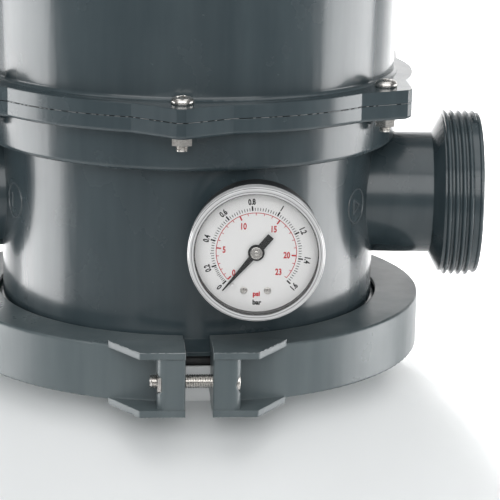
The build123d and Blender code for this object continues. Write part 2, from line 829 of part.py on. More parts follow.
with BuildPart() as bourdon_tube:
    with BuildSketch(gauge_plane(95.0)):
        Circle(22.0)
        Circle(19.6, mode=Mode.SUBTRACT)
        Rectangle(50, 50, align=(Align.MAX, Align.MAX), mode=Mode.SUBTRACT)
        with Locations((5.55, 0)):
            Rectangle(15, 2.4, align=(Align.MIN, Align.CENTER))
    extrude(amount=2.2)
finish(bourdon_tube, "bourdon_tube")


# ---------------------------------------------------------------- clamp
# Drawn with the front gap on -Y, then turned to where the gap is.
half_gap = clamp_gap / 2
boss_end = half_gap + boss_width
boss_root = 99.0
screw_height = up(clamp_screw_height)
clamp_turn = Location((0, 0, 0), (0, 0, clamp_angle))
clamp_turn_over = Location((0, 0, 0), (0, 0, clamp_angle + 180))


def lug_ribs(height):
    """Horizontal ribs of the lugs at both gaps, for the half on +X."""
    with BuildSketch(level(height)) as ribs:
        for side in (-1, 1):
            Polygon(
                (half_gap, side * lug_inner), (half_gap, side * lug_front),
                (lug_corner, side * lug_front), (lug_root_x, side * lug_root_y),
                (lug_root_x - 6, side * lug_inner), align=None)
            corner = ribs.vertices().sort_by_distance((lug_corner, side * lug_front))[0]
            fillet(corner, radius=1.5)
    extrude(ribs.sketch, amount=rib_thickness)


with BuildPart() as clamp_half:
    turned([
        (86.0, clamp_top), (clamp_outer, clamp_top), (clamp_outer, clamp_bottom),
        (87.5, clamp_bottom), (87.5, -120.3), (94.0, -117.6), (94.0, -105.1), (86.0, -102.2),
    ], rounds=[(clamp_outer, clamp_top, 0.8), (clamp_outer, clamp_bottom, 0.8)])
    with BuildSketch(Plane.YZ.offset(half_gap)):
        with Locations((0, up(clamp_top))):
            Rectangle(3 * clamp_outer, 3 * clamp_outer)
    extrude(amount=2 * clamp_outer, mode=Mode.INTERSECT)
    lug_ribs(lug_top - rib_thickness)
    lug_ribs(lug_bottom)
    with BuildSketch(level(lug_bottom + 1)) as bosses:
        for side in (-1, 1):
            with Locations((half_gap + boss_width / 2, side * (boss_root + boss_front) / 2)):
                Rectangle(boss_width, boss_front - boss_root)
            outer_corner = bosses.vertices().sort_by_distance((boss_end, side * boss_front))[0]
            fillet(outer_corner, radius=4.0)
            gap_corner = bosses.vertices().sort_by_distance((half_gap, side * boss_front))[0]
            fillet(gap_corner, radius=1.2)
    extrude(amount=lug_top - lug_bottom - 2)
    with BuildSketch(Plane.YZ.offset(half_gap - 1)):
        with Locations((-clamp_screw_distance, screw_height), (clamp_screw_distance, screw_height)):
            Circle(clamp_screw_radius + 0.25)
    extrude(amount=boss_width + 2, mode=Mode.SUBTRACT)
    with BuildSketch(Plane.YZ.offset(boss_end - recess_depth)):
        with Locations((-clamp_screw_distance, screw_height)):
            Circle(recess_radius)
    extrude(amount=recess_depth + 6, mode=Mode.SUBTRACT)
    with BuildSketch(Plane.YZ.offset(boss_end - nut_pocket_depth)):
        with Locations(Location((clamp_screw_distance, screw_height, 0), (0, 0, 90))):
            hexagon(10.2)
    extrude(amount=nut_pocket_depth + 6, mode=Mode.SUBTRACT)

with BuildPart() as clamp_screw:
    head_inner = boss_end - recess_depth + 0.1
    with BuildSketch(Plane.YZ.offset(head_inner - clamp_screw_length)):
        with Locations((-clamp_screw_distance, screw_height)):
            Circle(clamp_screw_radius)
    extrude(amount=clamp_screw_length + 1)
    with BuildSketch(Plane.YZ.offset(head_inner)):
        with Locations((-clamp_screw_distance, screw_height)):
            Circle(recess_radius - 0.25)
    extrude(amount=6.0)
    with BuildSketch(Plane.YZ.offset(head_inner + 6.0)):
        with Locations((-clamp_screw_distance, screw_height)):
            hexagon(5.0)
    extrude(amount=-3.0, mode=Mode.SUBTRACT)

with BuildPart() as clamp_nut:
    with BuildSketch(Plane.YZ.offset(-boss_end + 0.1)):
        with Locations(Location((-clamp_screw_distance, screw_height, 0), (0, 0, 90))):
            hexagon(10.0)
            Circle(clamp_screw_radius + 0.05, mode=Mode.SUBTRACT)
    extrude(amount=5.0)

for piece, front_name, back_name in (
        (clamp_half, "clamp_right", "clamp_left"),
        (clamp_screw, "clamp_screw_front", "clamp_screw_back"),
        (clamp_nut, "clamp_nut_front", "clamp_nut_back")):
    for place, name in ((clamp_turn, front_name), (clamp_turn_over, back_name)):
        with BuildPart() as placed_piece:
            with Locations(place):
                add(piece.part)
        finish(placed_piece, name)


# ---------------------------------------------------------------- underdrain
with BuildPart() as standpipe:
    with BuildSketch(Plane.XY.offset(pipe_bottom)):
        Circle(pipe_radius)
        Circle(pipe_bore, mode=Mode.SUBTRACT)
    extrude(amount=up(socket_top) - 0.3 - pipe_bottom)
finish(standpipe, "standpipe")

with BuildPart() as lateral_hub:
    with BuildSketch(Plane.XZ):
        outline([
            (0, hub_floor), (hub_outer - 8, hub_floor), (hub_outer, hub_floor + 6),
            (hub_outer, hub_rim - 14), (pipe_radius + 4, hub_rim), (pipe_socket, hub_rim),
            (pipe_socket, pipe_bottom - 0.3), (tube_bore, pipe_bottom - 0.3),
            (tube_bore, hub_floor + 6), (0, hub_floor + 6)])
    revolve(axis=Axis.Z)
    for count in range(lateral_count):
        turn = 22.5 + 360 / lateral_count * count
        with BuildSketch(Plane(origin=(0, 0, lateral_height), z_dir=outward(turn))):
            Circle(lateral_spigot + 0.02)
        extrude(amount=hub_outer + 5, mode=Mode.SUBTRACT)
finish(lateral_hub, "lateral_hub")

with BuildPart() as lateral:
    with BuildSketch(Plane.YZ.offset(hub_outer + 0.3)):
        Circle(lateral_radius)
    extrude(amount=lateral_end - hub_outer - 0.3)
    with BuildSketch(Plane.YZ.offset(tube_bore + 2)):
        Circle(lateral_spigot)
    extrude(amount=hub_outer - tube_bore)
    with BuildSketch(Plane.YZ.offset(tube_bore)):
        Circle(lateral_spigot - 2)
    extrude(amount=lateral_end - tube_bore - 2, mode=Mode.SUBTRACT)
    with BuildSketch(Plane.YZ.offset(hub_outer + 5)):
        Circle(lateral_bore)
    extrude(amount=lateral_end - hub_outer - 7, mode=Mode.SUBTRACT)
    slot_pitch = (lateral_end - hub_outer - 22) / (slot_count - 1)
    slots = [hub_outer + 12 + slot_pitch * count for count in range(slot_count)]
    with BuildSketch(Plane.XZ) as grooves:
        for slot in slots:
            with Locations((slot, lateral_radius)):
                Rectangle(slot_width + 1.2, 0.8)
            with Locations((slot, lateral_bore)):
                Rectangle(slot_width + 1.2, 0.4)
    revolve(grooves.sketch, axis=Axis.X, mode=Mode.SUBTRACT)
    with BuildSketch(Plane.XZ.offset(-lateral_radius - 1)):
        for slot in slots:
            with Locations((slot, lateral_radius - 2), (slot, 2 - lateral_radius)):
                Rectangle(slot_width, 10)
    extrude(amount=2 * lateral_radius + 2, mode=Mode.SUBTRACT)

with BuildPart() as laterals:
    with Locations((0, 0, lateral_height)):
        with PolarLocations(0, lateral_count, start_angle=22.5):
            add(lateral.part)
finish(laterals, "laterals")

with BuildPart() as top_diffuser:
    diffuser_top = skirt_bottom - 0.3
    turned([
        (73, diffuser_top), (73, -143), (pipe_radius + 1, -150), (pipe_radius + 1, -147.5),
        (70.5, -140.6), (70.5, diffuser_top)])
    with BuildSketch(Plane.XY.offset(up(-141))):
        with PolarLocations(72, 24):
            Rectangle(8, 5)
    extrude(amount=14, mode=Mode.SUBTRACT)
    with BuildSketch(Plane.XY.offset(up(-152))):
        with PolarLocations(49, 24):
            Rectangle(34, 2.2)
    extrude(amount=14, mode=Mode.SUBTRACT)
finish(top_diffuser, "top_diffuser")


# ---------------------------------------------------------------- drain
with BuildPart() as drain_spigot:
    turned_for_drain([
        (150, drain_bore), (150, drain_thread - 0.03), (drain_boss_face + 1.8, drain_thread - 0.03),
        (drain_boss_face + 1.8, drain_bore)])
    with BuildSketch(drain_plane(drain_boss_face + 1.75)):
        hexagon(36)
        Circle(drain_bore, mode=Mode.SUBTRACT)
    extrude(amount=6)
    turned_for_drain([
        (drain_boss_face + 7.7, drain_bore), (drain_boss_face + 7.7, drain_thread),
        (drain_end, drain_thread), (drain_end, drain_bore)])
finish(drain_spigot, "drain_spigot")

with BuildPart() as drain_seal:
    turned_for_drain([
        (drain_boss_face + 0.05, drain_thread + 0.1), (drain_boss_face + 0.05, 19),
        (drain_boss_face + 1.7, 19), (drain_boss_face + 1.7, drain_thread + 0.1)])
finish(drain_seal, "drain_seal")

with BuildPart() as drain_gasket:
    turned_for_drain([
        (drain_end + 0.1, 6), (drain_end + 0.1, 14.4), (drain_end + 2.1, 14.4), (drain_end + 2.1, 6)])
finish(drain_gasket, "drain_gasket")

with BuildPart() as drain_cap:
    turned_for_drain([
        (180.2, drain_thread + 0.08), (180.2, 19.5), (195.5, 19.5), (197.0, 18), (197.0, 0),
        (drain_end + 2.2, 0), (drain_end + 2.2, drain_thread + 0.08)])
    with BuildSketch(drain_plane(180.2)):
        with PolarLocations(19.5, 12):
            Rectangle(3.4, 3.6)
        Circle(drain_thread + 1, mode=Mode.SUBTRACT)
    extrude(amount=14)
finish(drain_cap, "drain_cap")

with BuildPart() as drain_strainer:
    turned_for_drain([
        (128, 0), (128, drain_bore - 0.1), (168, drain_bore - 0.1), (168, drain_bore - 1.6),
        (129.6, drain_bore - 1.6), (129.6, 0)])
    with BuildSketch(Plane.XY.offset(drain_height - drain_bore - 1)):
        for count in range(6):
            with Locations((0, -131.5 - 3 * count)):
                Rectangle(30, 0.9)
    extrude(amount=drain_bore - 1.4, mode=Mode.SUBTRACT)
finish(drain_strainer, "drain_strainer")
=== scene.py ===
import json
import random
from math import cos, hypot, pi, radians, sin

import bpy
from mathutils import Matrix, Vector


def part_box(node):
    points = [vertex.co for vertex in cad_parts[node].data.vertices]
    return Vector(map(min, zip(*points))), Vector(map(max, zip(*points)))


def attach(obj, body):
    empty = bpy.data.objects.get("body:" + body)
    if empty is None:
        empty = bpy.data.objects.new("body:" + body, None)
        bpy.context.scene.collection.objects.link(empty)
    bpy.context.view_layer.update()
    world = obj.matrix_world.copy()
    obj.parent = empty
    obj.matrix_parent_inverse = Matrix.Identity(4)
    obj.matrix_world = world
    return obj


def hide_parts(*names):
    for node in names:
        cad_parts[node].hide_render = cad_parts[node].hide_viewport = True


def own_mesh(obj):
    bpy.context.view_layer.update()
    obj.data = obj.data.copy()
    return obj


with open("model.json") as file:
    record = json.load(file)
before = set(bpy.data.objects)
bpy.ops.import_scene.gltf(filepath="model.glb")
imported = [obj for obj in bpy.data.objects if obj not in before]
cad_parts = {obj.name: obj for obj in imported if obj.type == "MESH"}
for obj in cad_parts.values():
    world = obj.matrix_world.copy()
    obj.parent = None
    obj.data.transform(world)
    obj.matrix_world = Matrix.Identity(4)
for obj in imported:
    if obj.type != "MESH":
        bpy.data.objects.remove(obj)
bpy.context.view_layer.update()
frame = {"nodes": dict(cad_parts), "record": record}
nodes = frame["nodes"]

MM = 0.001
DRAW = random.Random(4)
VALVE_DATUM = 0.620             # height of the top face of the cover flange
TANK_SEAM = 0.229               # height of the moulding seam round the tank
SHARP_ANGLE = radians(32)       # edges that bend more than this are shaded sharp
BOLTS = 6                       # cover screws, flange ears and selector positions
BOLT_STEP = 60                  # degrees between them; the first is at the front
FRONT = -90
FIGURE_HEIGHT = 0.72            # height of a figure as a share of its font size


def up(height):
    """Height above the floor, in metres, of a height on the valve in millimetres."""
    return VALVE_DATUM + height * MM


def level(height):
    """The same height above the floor, in millimetres."""
    return VALVE_DATUM / MM + height


# ---------------------------------------------------------------- camera, backdrop and lights
def add_camera():
    """Long lens in front of the valve and above it, looking down at it and rolled one degree."""
    place = (0.0254, -0.9318, up(152.1))
    yaw, pitch, roll = radians(0.19), radians(14.27), radians(1.0)
    forward = Vector((sin(yaw) * cos(pitch), cos(yaw) * cos(pitch), -sin(pitch)))
    level = Vector((cos(yaw), -sin(yaw), 0))
    upright = level.cross(forward)
    right = cos(roll) * level + sin(roll) * upright
    top = cos(roll) * upright - sin(roll) * level
    data = bpy.data.cameras.new("camera")
    data.sensor_width = 36.0
    data.lens = 151.6
    data.clip_start = 0.05
    camera = bpy.data.objects.new("camera", data)
    turn = Matrix((right, top, -forward)).transposed().to_4x4()
    camera.matrix_world = Matrix.Translation(place) @ turn
    bpy.context.scene.collection.objects.link(camera)
    bpy.context.scene.camera = camera


def add_softbox(name, place, target, size, power, spread=180):
    """Rectangular light at place that faces target."""
    data = bpy.data.lights.new(name, "AREA")
    data.shape = "RECTANGLE"
    data.size, data.size_y = size
    data.energy = power
    data.spread = radians(spread)
    light = bpy.data.objects.new(name, data)
    light.location = place
    light.rotation_euler = (Vector(target) - Vector(place)).to_track_quat("-Z", "Y").to_euler()
    bpy.context.scene.collection.objects.link(light)


def mesh_object(name, vertices, faces):
    """Smooth-shaded object with its sharp edges kept."""
    mesh = bpy.data.meshes.new(name)
    mesh.from_pydata([tuple(v) for v in vertices], [], faces)
    mesh.validate()
    mesh.polygons.foreach_set("use_smooth", [True] * len(mesh.polygons))
    mesh.set_sharp_from_angle(angle=SHARP_ANGLE)
    mesh.update()
    made = bpy.data.objects.new(name, mesh)
    bpy.context.scene.collection.objects.link(made)
    return made


def add_backdrop(material):
    """Pale sweep: a floor that curves up behind the object."""
    half, front, back, bend, wall = 16.0, -16.0, 2.2, 0.8, 8.0
    outline = [(front, 0.0), (back, 0.0)]
    outline += [(back + bend * sin(radians(a)), bend * (1 - cos(radians(a))))
                for a in range(10, 91, 10)]
    outline.append((back + bend, wall))
    vertices = [(x, y, z) for y, z in outline for x in (-half, half)]
    faces = [(2 * i, 2 * i + 1, 2 * i + 3, 2 * i + 2) for i in range(len(outline) - 1)]
    floor = mesh_object("backdrop", vertices, faces)
    floor.data.materials.append(material)


# ---------------------------------------------------------------- shapes
class Shape:
    """Vertices and faces gathered into one piece."""

    def __init__(self):
        self.vertices = []
        self.faces = []

    def add(self, vertices, faces, place=None):
        start = len(self.vertices)
        self.vertices += [place @ Vector(v) if place else Vector(v) for v in vertices]
        self.faces += [tuple(start + i for i in face) for face in faces]

    def piece(self, name, material, body, replaced=()):
        """Object from what was gathered, on a body, in place of the replaced CAD nodes."""
        made = mesh_object(name, self.vertices, self.faces)
        made.data.materials.append(material)
        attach(made, body)
        if replaced:
            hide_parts(*replaced)
        return made


def placed(origin, x_axis, z_axis):
    """Matrix that puts a local frame with these x and z axes at origin, in metres."""
    z_dir = Vector(z_axis).normalized()
    x_dir = Vector(x_axis).normalized()
    turn = Matrix((x_dir, z_dir.cross(x_dir), z_dir)).transposed().to_4x4()
    return Matrix.Translation(origin) @ turn


def rings(rows, segments):
    """Closed skin through rows of (radius, height) per segment, ending in two middle points."""
    vertices = []
    for row in rows:
        for step, (radius, height) in enumerate(row):
            turn = 2 * pi * step / segments
            vertices.append((radius * cos(turn), radius * sin(turn), height))
    faces = []
    for row in range(len(rows) - 1):
        for step in range(segments):
            a, b = row * segments + step, row * segments + (step + 1) % segments
            faces.append((a, a + segments, b + segments, b))
    first, last = len(vertices), len(vertices) + 1
    vertices.append((0, 0, rows[0][0][1]))
    vertices.append((0, 0, rows[-1][0][1]))
    end = (len(rows) - 1) * segments
    for step in range(segments):
        after = (step + 1) % segments
        faces.append((first, step, after))
        faces.append((last, end + after, end + step))
    return vertices, faces


def even(radius, height, segments):
    """Row of one radius and height all the way round."""
    return [(radius, height)] * segments


def thread_rows(radius, depth, pitch, top, bottom, segments):
    """Rows of a right-handed screw thread between two heights, fading in and out at the ends."""
    rows_per_turn = 8
    left_at_top, left_at_tip = 0.2, 0.15        # shares of the depth that are left at the two ends
    gain, crest = 1.35, 0.15                    # cut a triangle wave to flat crests and roots
    steps = max(2, int((top - bottom) / pitch * rows_per_turn))
    rows = []
    for step in range(steps + 1):
        height = top + (bottom - top) * step / steps
        fade = min(1.0, (top - height) / pitch + left_at_top,
                   (height - bottom) / pitch + left_at_tip)
        row = []
        for segment in range(segments):
            phase = (height / pitch - segment / segments) % 1.0
            groove = min(1.0, max(0.0, gain * abs(2 * phase - 1) - crest))
            taper = 0.0 if height > bottom + pitch else depth * (1 - fade)
            row.append((radius - depth * groove * fade - taper, height))
        rows.append(row)
    return rows


def screw(head_radius, head_height, crown, recess, shaft, segments=64):
    """Screw along -z with its head on z = 0, in millimetres.

    crown is the radius of the head's rounded edge, recess(x, y) is how deep the drive is there,
    and shaft is its radius, thread depth, pitch and length.
    """
    top_rings = 24
    top_radius = head_radius - crown
    fall = 0.25 * crown                         # from the middle of the top face to its edge
    edge_rise, edge_inset = 0.12 * head_height, 0.06 * head_height
    rows = []
    for ring in range(1, top_rings + 1):
        radius = top_radius * ring / top_rings
        drop = fall * (radius / top_radius) ** 2
        row = []
        for step in range(segments):
            turn = 2 * pi * step / segments
            depth = recess(radius * cos(turn), radius * sin(turn))
            row.append((radius, head_height - drop - depth))
        rows.append(row)
    for angle in range(15, 91, 15):
        turn = radians(angle)
        height = head_height - fall - crown * (1 - cos(turn))
        rows.append(even(top_radius + crown * sin(turn), height, segments))
    rows.append(even(head_radius, edge_rise, segments))
    rows.append(even(head_radius - edge_inset, 0.0, segments))
    radius, depth, pitch, length = shaft
    rows.append(even(radius, 0.0, segments))
    rows += thread_rows(radius, depth, pitch, -0.1 * pitch, -length, segments)
    return rings(rows, segments)


def cross_recess(x, y):
    """Cross drive that is deepest in the middle and tapers to nothing at cone."""
    arm, half_width, depth, cone = 2.5, 0.55, 1.5, 3.2
    inside = min(max(abs(x) / arm, abs(y) / half_width), max(abs(x) / half_width, abs(y) / arm))
    return depth * max(0.0, 1 - hypot(x, y) / cone) if inside < 1 else 0.0


def slot_recess(_, y):
    """Slot right across the head."""
    half_width, depth = 0.24, 0.32
    return depth if abs(y) < half_width else 0.0


def hex_recess(x, y):
    """Hexagon socket."""
    half_flats, depth = 2.5, 3.0
    across = max(abs(x * cos(radians(a)) + y * sin(radians(a))) for a in (0, 60, 120))
    return depth if across < half_flats else 0.0


def scaled(made):
    """The same vertices and faces, from millimetres to metres."""
    vertices, faces = made
    return [tuple(MM * c for c in v) for v in vertices], faces


def strip(shape, points, place):
    """Flat quads between pairs of points."""
    vertices = [p for pair in points for p in pair]
    faces = [(2 * i, 2 * i + 2, 2 * i + 3, 2 * i + 1) for i in range(len(points) - 1)]
    shape.add(vertices, faces, place)


def bar(shape, low, high, place):
    """Box between two corners."""
    xs, ys, zs = zip(low, high)
    vertices = [(x, y, z) for x in xs for y in ys for z in zs]
    faces = [(0, 1, 3, 2), (4, 6, 7, 5), (0, 4, 5, 1), (2, 3, 7, 6), (0, 2, 6, 4), (1, 5, 7, 3)]
    shape.add(vertices, faces, place)


def lettering(shape, text, height, place, squeeze, weight, depth=1e-5):
    """Figures or a unit as thin raised print, centred on the origin of place.

    squeeze narrows it, weight widens its strokes and depth is half its thickness.
    """
    curve = bpy.data.curves.new("print", "FONT")
    curve.body = text
    curve.size = height / FIGURE_HEIGHT
    curve.offset = weight
    curve.extrude = depth
    curve.align_x = "CENTER"
    curve.resolution_u = 4
    holder = bpy.data.objects.new("print", curve)
    bpy.context.scene.collection.objects.link(holder)
    graph = bpy.context.evaluated_depsgraph_get()
    mesh = bpy.data.meshes.new_from_object(holder.evaluated_get(graph))
    shrink = Matrix.Diagonal((squeeze, 1, 1, 1)) @ Matrix.Translation((0, -height / 2, 0))
    shape.add([v.co for v in mesh.vertices], [tuple(f.vertices) for f in mesh.polygons],
              place @ shrink)
    bpy.data.objects.remove(holder)
    bpy.data.meshes.remove(mesh)
    bpy.data.curves.remove(curve)


# ---------------------------------------------------------------- materials
class Graph:
    """A node material around one Principled shader, with short ways to add what feeds it."""

    def __init__(self, name):
        self.material = bpy.data.materials.new(name)
        self.material.use_nodes = True
        self.tree = self.material.node_tree
        self.shader = next(n for n in self.tree.nodes if n.type == "BSDF_PRINCIPLED")
        self.coordinates = self.tree.nodes.new("ShaderNodeTexCoord").outputs["Object"]

    def node(self, kind, inputs=None, **settings):
        made = self.tree.nodes.new(kind)
        for key, value in settings.items():
            setattr(made, key, value)
        for key, value in (inputs or {}).items():
            if isinstance(value, bpy.types.NodeSocket):
                self.tree.links.new(value, made.inputs[key])
            else:
                made.inputs[key].default_value = value
        return made

    def set(self, **values):
        for key, value in values.items():
            socket = self.shader.inputs[key.replace("_", " ")]
            if isinstance(value, bpy.types.NodeSocket):
                self.tree.links.new(value, socket)
            else:
                socket.default_value = value

    def stretched(self, scale):
        inputs = {"Vector": self.coordinates, "Scale": scale}
        return self.node("ShaderNodeMapping", inputs).outputs[0]

    def noise(self, scale, detail, vector=None):
        inputs = {"Vector": vector or self.coordinates, "Scale": scale, "Detail": detail,
                  "Roughness": 0.55}
        return self.node("ShaderNodeTexNoise", inputs).outputs["Fac"]

    def ramp(self, factor, low, high, start=0.3, end=0.7):
        made = self.node("ShaderNodeValToRGB", {"Fac": factor})
        made.color_ramp.elements[0].position = start
        made.color_ramp.elements[1].position = end
        made.color_ramp.elements[0].color = (*low, 1)
        made.color_ramp.elements[1].color = (*high, 1)
        return made.outputs["Color"]

    def spread(self, factor, low, high, start=0.3, end=0.7):
        inputs = {"Value": factor, "From Min": start, "From Max": end,
                  "To Min": low, "To Max": high}
        return self.node("ShaderNodeMapRange", inputs).outputs["Result"]

    def math(self, operation, first, second=0.0):
        return self.node("ShaderNodeMath", {0: first, 1: second}, operation=operation).outputs[0]

    def bump(self, height, distance, strength=1.0, under=None):
        inputs = {"Height": height, "Distance": distance, "Strength": strength}
        if under is not None:
            inputs["Normal"] = under
        return self.node("ShaderNodeBump", inputs).outputs["Normal"]


def moulded(name, low, high, rough, grain, depth, coat=0.0, streaks=0.0, edge=0.0, shine=0.5):
    """Injection-moulded plastic: cloudy colour, uneven gloss, fine grain and faint flow streaks.

    low and high are its two colours, rough the range of its roughness, grain and depth the scale
    and height of its grain, streaks the height of the streaks, and edge the radius that its
    edges look rounded to.
    """
    g = Graph(name)
    clouds = g.noise(9.0, 5.0)
    flow = g.noise(14.0, 4.0, vector=g.stretched((5.0, 5.0, 0.5)))
    mixed = g.math("ADD", g.math("MULTIPLY", clouds, 0.4), g.math("MULTIPLY", flow, 0.6))
    g.set(Base_Color=g.ramp(mixed, low, high, 0.38, 0.62))
    g.set(Roughness=g.spread(g.noise(35.0, 6.0), rough[0], rough[1]))
    g.set(Coat_Weight=coat, Coat_Roughness=0.12, Specular_IOR_Level=shine)
    rounded = g.node("ShaderNodeBevel", {"Radius": edge}, samples=4).outputs[0] if edge else None
    normal = g.bump(g.noise(grain, 3.0), depth, 1.0, rounded)
    if streaks:
        streaked = g.noise(14.0, 2.0, vector=g.stretched((9.0, 9.0, 1.2)))
        normal = g.bump(streaked, streaks, 1.0, normal)
    g.set(Normal=normal)
    return g.material


def metal(name, color, rough):
    """Bright metal with a fine grain and faintly uneven colour."""
    g = Graph(name)
    field = g.noise(1800.0, 4.0)
    dark = tuple(0.8 * c for c in color)
    g.set(Base_Color=g.ramp(g.noise(160.0, 4.0), dark, color), Metallic=1.0)
    g.set(Roughness=g.spread(field, rough[0], rough[1]), Normal=g.bump(field, 4e-6))
    return g.material


def rubber(name, color):
    """Dull rubber with dusty patches."""
    g = Graph(name)
    lighter = tuple(1.8 * c + 0.006 for c in color)
    g.set(Base_Color=g.ramp(g.noise(220.0, 5.0), color, lighter))
    g.set(Roughness=g.spread(g.noise(600.0, 3.0), 0.5, 0.75))
    g.set(Normal=g.bump(g.noise(1500.0, 3.0), 1.5e-5))
    return g.material


def tank_material():
    """Blow-moulded white shell: soft waviness, fine grain and a raised seam round the middle."""
    seam_top, seam_foot = 0.0006, 0.0022        # half widths of the seam
    g = Graph("tank_white")
    clouds = g.noise(7.0, 5.0)
    g.set(Base_Color=g.ramp(clouds, (0.75, 0.77, 0.775), (0.79, 0.81, 0.815)))
    g.set(Roughness=g.spread(g.noise(60.0, 5.0), 0.30, 0.42))
    waves = g.bump(g.noise(16.0, 2.0), 3e-4, 0.6)
    height = g.node("ShaderNodeSeparateXYZ", {0: g.coordinates}).outputs["Z"]
    from_seam = g.math("ABSOLUTE", g.math("SUBTRACT", height, TANK_SEAM))
    seam = g.bump(g.spread(from_seam, 1.0, 0.0, seam_top, seam_foot), 8e-4, 1.0, waves)
    g.set(Normal=g.bump(g.noise(1100.0, 3.0), 1.2e-5, 1.0, seam))
    return g.material


def clear(name, color, alpha, rough):
    """Clear plastic that shows by its reflections."""
    g = Graph(name)
    g.set(Base_Color=(*color, 1), Alpha=alpha, Specular_IOR_Level=0.8, IOR=1.55)
    g.set(Roughness=g.spread(g.noise(300.0, 3.0), rough[0], rough[1]))
    return g.material


def bezel_material():
    """Clear rim over a black case: painted highlight bands and thin painted dark lines for the
    light it bends.
    """
    inner_radius, outer_radius = 0.0248, 0.0280
    g = Graph("gauge_bezel_clear")
    low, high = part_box("gauge_bezel")
    centre = (0.5 * (low[0] + high[0]), 0, 0.5 * (low[2] + high[2]))
    flat = g.node("ShaderNodeMapping", {
        "Vector": g.coordinates, "Location": tuple(-c for c in centre), "Scale": (1, 0, 1)})
    length = g.node("ShaderNodeVectorMath", {0: flat.outputs[0]}, operation="LENGTH")
    uneven = g.math("MULTIPLY", g.noise(90.0, 3.0), 0.0005)
    distance = g.math("ADD", length.outputs["Value"], uneven)
    across = g.spread(distance, 0.0, 1.0, inner_radius, outer_radius)
    # painted highlight bands and painted dark lines in rings across the rim, by distance from the
    # gauge's middle
    bands = g.node("ShaderNodeValToRGB", {"Fac": across})
    ramp = bands.color_ramp
    stops = ((0.0, 0.04), (0.16, 0.06), (0.24, 0.66), (0.38, 0.74), (0.44, 0.12), (0.52, 0.60),
             (0.80, 0.76), (0.86, 0.10), (0.93, 0.70))
    while len(ramp.elements) < len(stops):
        ramp.elements.new(0.5)
    for element, (position, tone) in zip(ramp.elements, stops):
        element.position = position
        element.color = (tone, 1.01 * tone, 1.02 * tone, 1)
    g.set(Base_Color=bands.outputs["Color"], Alpha=0.85, IOR=1.55, Specular_IOR_Level=0.8)
    g.set(Roughness=g.spread(g.noise(300.0, 3.0), 0.08, 0.16))
    return g.material


def backdrop_material():
    """Matt white paper."""
    g = Graph("backdrop_white")
    paper = g.ramp(g.noise(2.0, 3.0), (0.86, 0.86, 0.86), (0.88, 0.88, 0.88))
    g.set(Base_Color=paper, Roughness=0.9)
    return g.material


VALVE_PLASTIC = moulded(
    "valve_plastic", (0.030, 0.046, 0.054), (0.050, 0.070, 0.079), (0.20, 0.30), 700.0, 6e-6,
    coat=0.35, streaks=1.5e-4, edge=0.0006)
CLAMP_PLASTIC = moulded(
    "clamp_plastic", (0.074, 0.098, 0.106), (0.110, 0.136, 0.144), (0.26, 0.38), 2400.0, 1.5e-5,
    streaks=1e-4, edge=0.0008)
# lighter copy of the valve plastic for the raised port marks: a painted highlight for the light
# their ridges catch
MARK_PAINTED_HIGHLIGHT = moulded(
    "mark_painted_highlight", (0.080, 0.096, 0.103), (0.110, 0.127, 0.134), (0.20, 0.30), 700.0, 6e-6,
    coat=0.35)
FLASH_PLASTIC = moulded(
    "flash_plastic", (0.22, 0.24, 0.25), (0.50, 0.53, 0.54), (0.4, 0.5), 1800.0, 1e-5)
PRINT_BLACK = moulded(
    "print_black", (0.003, 0.003, 0.003), (0.006, 0.006, 0.006), (0.6, 0.7), 1800.0, 1e-6,
    shine=0.1)
PRINT_RED = moulded(
    "print_red", (0.50, 0.012, 0.022), (0.56, 0.018, 0.028), (0.6, 0.7), 1800.0, 1e-6,
    shine=0.1)
DARK_PLASTIC = moulded(
    "dark_plastic", (0.020, 0.021, 0.023), (0.030, 0.031, 0.034), (0.35, 0.5), 1800.0, 2e-5)
GRIP_PLASTIC = moulded(
    "grip_plastic", (0.050, 0.062, 0.070), (0.060, 0.074, 0.083), (0.25, 0.36), 1500.0, 2e-5,
    coat=0.2)
PIPE_PLASTIC = moulded(
    "pipe_plastic", (0.70, 0.71, 0.70), (0.76, 0.77, 0.76), (0.3, 0.45), 900.0, 1e-5)
WASHER_PLASTIC = moulded(
    "washer_plastic", (0.68, 0.66, 0.60), (0.74, 0.72, 0.66), (0.35, 0.5), 900.0, 1e-5)
GAUGE_BLACK = moulded(
    "gauge_black", (0.010, 0.010, 0.011), (0.016, 0.016, 0.017), (0.30, 0.42), 1600.0, 1.5e-5)
TANK_WHITE = tank_material()
SEAL_RUBBER = rubber("seal_rubber", (0.012, 0.012, 0.013))
STEEL = metal("screw_steel", (0.70, 0.68, 0.65), (0.18, 0.34))
SPRING_STEEL = metal("spring_steel", (0.62, 0.61, 0.60), (0.2, 0.35))
BRASS = metal("gauge_brass", (0.72, 0.55, 0.28), (0.22, 0.4))
DIAL_WHITE = moulded(
    "dial_white", (0.80, 0.80, 0.795), (0.84, 0.84, 0.835), (0.5, 0.6), 1500.0, 3e-6)
POINTER_BLACK = moulded(
    "pointer_black", (0.004, 0.004, 0.004), (0.008, 0.008, 0.008), (0.5, 0.6), 1800.0, 6e-6,
    shine=0.15)
# bezel material with painted highlights and painted dark lines in its colour
BEZEL_CLEAR_PAINTED_LIGHT = bezel_material()
LENS_CLEAR = clear("gauge_lens_clear", (0.5, 0.51, 0.52), 0.04, (0.02, 0.05))
PLATE_GREY = moulded(
    "plate_grey", (0.30, 0.31, 0.32), (0.36, 0.37, 0.38), (0.3, 0.42), 1600.0, 8e-6)

